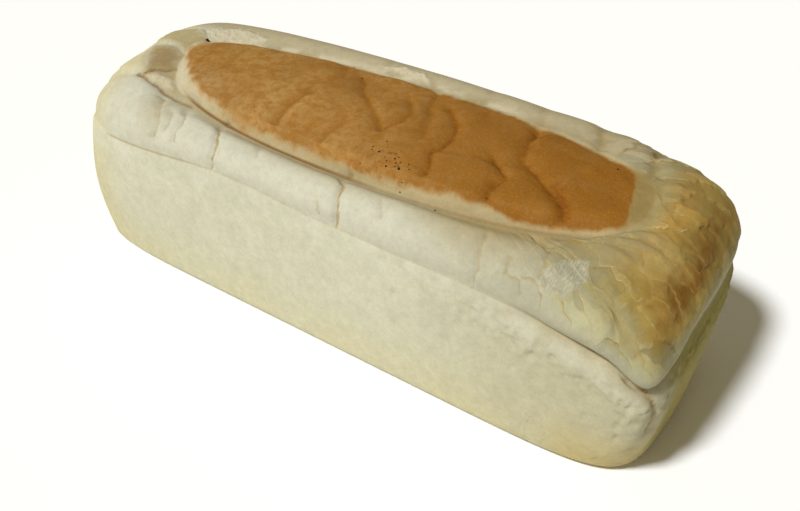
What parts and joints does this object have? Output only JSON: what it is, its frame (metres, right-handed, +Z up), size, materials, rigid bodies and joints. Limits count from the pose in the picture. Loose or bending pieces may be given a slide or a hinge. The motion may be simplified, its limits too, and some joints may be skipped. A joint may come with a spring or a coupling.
{
  "type": "tin loaf of bread",
  "caption": "Long white loaf baked in an open tin: straight pale walls, a line at the tin's rim, rolled shoulders and a raised golden panel inside a crease on top.",
  "frame": {"origin": "on the surface that the loaf stands on, under the middle of its box", "axes": "+Z up, +X along the loaf towards its browned end, -Y towards the long side with the lower shoulder"},
  "size_m": [0.3014, 0.1082, 0.1011],
  "materials": {
    "crust": "dry matt crust, cream on the walls and shoulders, golden brown on the top panel"
  },
  "bodies": {
    "root": {"loaf": "crust"}
  },
  "joints": []
}
